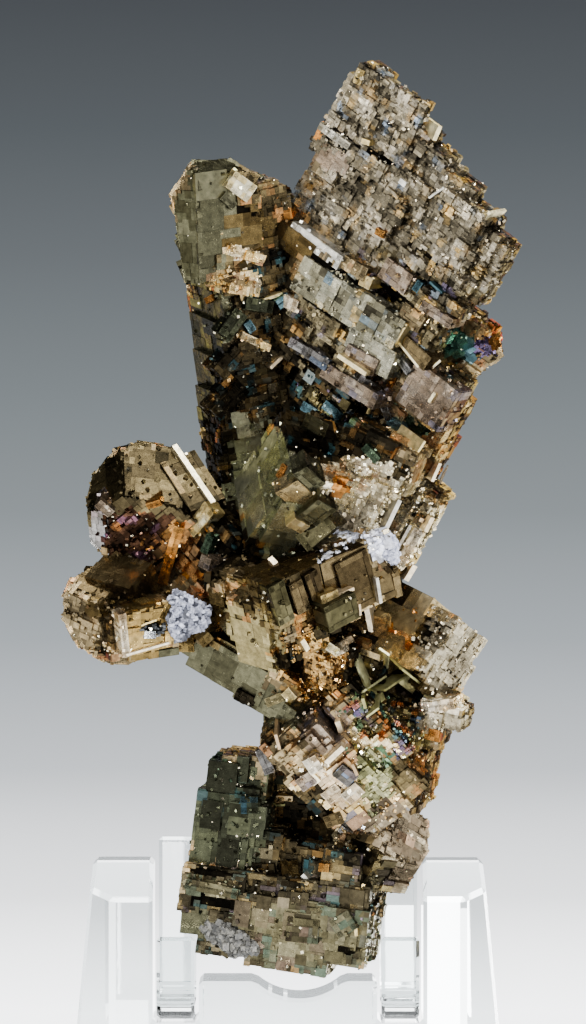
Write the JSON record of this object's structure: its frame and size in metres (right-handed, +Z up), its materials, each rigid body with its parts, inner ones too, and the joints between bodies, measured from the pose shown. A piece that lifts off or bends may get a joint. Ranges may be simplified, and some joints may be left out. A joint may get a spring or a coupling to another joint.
{
  "type": "pyrite specimen on stand",
  "caption": "Intergrown cluster of stepped, tarnished pyrite cubes with white crusts, held upright in a clear acrylic display stand.",
  "frame": {"origin": "middle of the flat underside of the stand", "axes": "+Z up along the standing specimen, -Y towards the viewer in front of the stand, +X to the viewer's right"},
  "size_m": [0.0394, 0.0346, 0.0871],
  "materials": {
    "pyrite": "metallic lustre, tarnished brown with gold, silver and iridescent patches",
    "white_crust": "matte, granular",
    "clear_acrylic": "clear, polished, lightly scratched"
  },
  "bodies": {
    "root": {"pyrite_cluster": "pyrite", "white_crust_left": "white_crust", "white_crust_middle": "white_crust", "white_crust_base": "white_crust", "stand_base": "clear_acrylic", "stand_hook_left": "clear_acrylic", "stand_hook_right": "clear_acrylic"}
  },
  "joints": []
}
